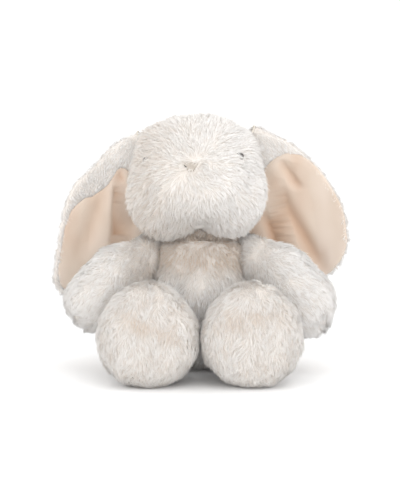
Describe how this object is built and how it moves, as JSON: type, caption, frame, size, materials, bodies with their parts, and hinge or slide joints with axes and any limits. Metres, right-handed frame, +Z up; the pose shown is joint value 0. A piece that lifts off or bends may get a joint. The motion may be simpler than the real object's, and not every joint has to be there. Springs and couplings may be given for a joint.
{
  "type": "stuffed bunny rabbit",
  "caption": "Seated long-haired plush bunny with long hanging lined ears, big round forward feet, loose arms and a flat seat.",
  "frame": {"origin": "centre of the flat seat, on the surface the toy sits on", "axes": "+Z up, the toy faces -Y, +X towards the toy's own left side"},
  "size_m": [0.3086, 0.215, 0.2591],
  "materials": {
    "fur": "white to cream long-pile faux fur",
    "ear_lining": "smooth short-pile peach plush with a soft sheen",
    "filling": "matt white polyester fibre filling",
    "pouch_cloth": "plain woven cloth",
    "pellets": "small smooth plastic pellets",
    "thread": "twisted sewing thread",
    "nose_thread": "satin stitched embroidery thread",
    "eye": "polished dark plastic",
    "washer": "plain moulded plastic"
  },
  "bodies": {
    "torso": {"torso_front_cover": "fur", "torso_back_left_cover": "fur", "torso_back_right_cover": "fur", "seat_panel": "fur", "torso_stuffing": "filling", "pellet_pouch": "pouch_cloth", "pellets": "pellets", "back_closing_stitch": "thread", "tail_cover": "fur", "tail_stuffing": "filling"},
    "neck_turner": {"neck_gather_thread": "thread"},
    "neck_tilter": {"neck_seam_thread": "thread"},
    "head": {"head_left_cover": "fur", "head_right_cover": "fur", "head_back_cover": "fur", "neck_cover": "fur", "head_stuffing": "filling", "nose_stitching": "nose_thread", "left_eye": "eye", "right_eye": "eye", "left_eye_washer": "washer", "right_eye_washer": "washer"},
    "left_ear_root": {"left_ear_thread": "thread"},
    "left_ear": {"left_ear_back": "fur", "left_ear_lining": "ear_lining"},
    "left_shoulder": {"left_shoulder_thread": "thread"},
    "left_arm": {"left_arm_front_cover": "fur", "left_arm_back_cover": "fur", "left_arm_stuffing": "filling"},
    "left_hip": {"left_hip_thread": "thread"},
    "left_leg": {"left_leg_cover": "fur", "left_sole_cover": "fur", "left_leg_stuffing": "filling"},
    "right_ear_root": {"right_ear_thread": "thread"},
    "right_ear": {"right_ear_back": "fur", "right_ear_lining": "ear_lining"},
    "right_shoulder": {"right_shoulder_thread": "thread"},
    "right_arm": {"right_arm_front_cover": "fur", "right_arm_back_cover": "fur", "right_arm_stuffing": "filling"},
    "right_hip": {"right_hip_thread": "thread"},
    "right_leg": {"right_leg_cover": "fur", "right_sole_cover": "fur", "right_leg_stuffing": "filling"}
  },
  "joints": [
    {"name": "head_turn", "type": "hinge", "parent": "torso", "child": "neck_turner", "pos_m": [0, -0.003, 0.14], "axis": [0, 0, 1], "range_deg": [-12, 12]},
    {"name": "head_tilt", "type": "hinge", "parent": "neck_turner", "child": "neck_tilter", "pos_m": [0, -0.003, 0.14], "axis": [0, 1, 0], "range_deg": [-7, 7]},
    {"name": "head_nod", "type": "hinge", "parent": "neck_tilter", "child": "head", "pos_m": [0, -0.003, 0.14], "axis": [1, 0, 0], "range_deg": [-8, 12]},
    {"name": "left_ear_lift", "type": "hinge", "parent": "head", "child": "left_ear_root", "pos_m": [0.06072, 0.0098, 0.24326], "axis": [-0.0698, -0.9976, 0], "range_deg": [0, 80]},
    {"name": "left_ear_back_swing", "type": "hinge", "parent": "left_ear_root", "child": "left_ear", "pos_m": [0.06072, 0.0098, 0.24326], "axis": [0.9962, -0.0697, 0.0523], "range_deg": [0, 35]},
    {"name": "right_ear_lift", "type": "hinge", "parent": "head", "child": "right_ear_root", "pos_m": [-0.06879, 0.01885, 0.23646], "axis": [0.0698, 0.9976, 0], "range_deg": [0, 80]},
    {"name": "right_ear_back_swing", "type": "hinge", "parent": "right_ear_root", "child": "right_ear", "pos_m": [-0.06879, 0.01885, 0.23646], "axis": [0.9962, -0.0697, 0.0523], "range_deg": [0, 35]},
    {"name": "left_arm_swing", "type": "hinge", "parent": "torso", "child": "left_shoulder", "pos_m": [0.06, -0.01, 0.113], "axis": [-1, 0, 0], "range_deg": [-10, 60]},
    {"name": "left_arm_raise", "type": "hinge", "parent": "left_shoulder", "child": "left_arm", "pos_m": [0.06, -0.01, 0.113], "axis": [0, -1, 0], "range_deg": [0, 35]},
    {"name": "right_arm_swing", "type": "hinge", "parent": "torso", "child": "right_shoulder", "pos_m": [-0.06, -0.01, 0.113], "axis": [-1, 0, 0], "range_deg": [-10, 60]},
    {"name": "right_arm_raise", "type": "hinge", "parent": "right_shoulder", "child": "right_arm", "pos_m": [-0.06, -0.01, 0.113], "axis": [0, 1, 0], "range_deg": [0, 35]},
    {"name": "left_leg_splay", "type": "hinge", "parent": "torso", "child": "left_hip", "pos_m": [0.046, -0.0545, 0.034], "axis": [0, 0, 1], "range_deg": [0, 10]},
    {"name": "left_leg_lift", "type": "hinge", "parent": "left_hip", "child": "left_leg", "pos_m": [0.046, -0.0545, 0.034], "axis": [-1, 0, 0], "range_deg": [0, 12]},
    {"name": "right_leg_splay", "type": "hinge", "parent": "torso", "child": "right_hip", "pos_m": [-0.046, -0.0545, 0.034], "axis": [0, 0, -1], "range_deg": [0, 10]},
    {"name": "right_leg_lift", "type": "hinge", "parent": "right_hip", "child": "right_leg", "pos_m": [-0.046, -0.0545, 0.034], "axis": [-1, 0, 0], "range_deg": [0, 12]}
  ]
}
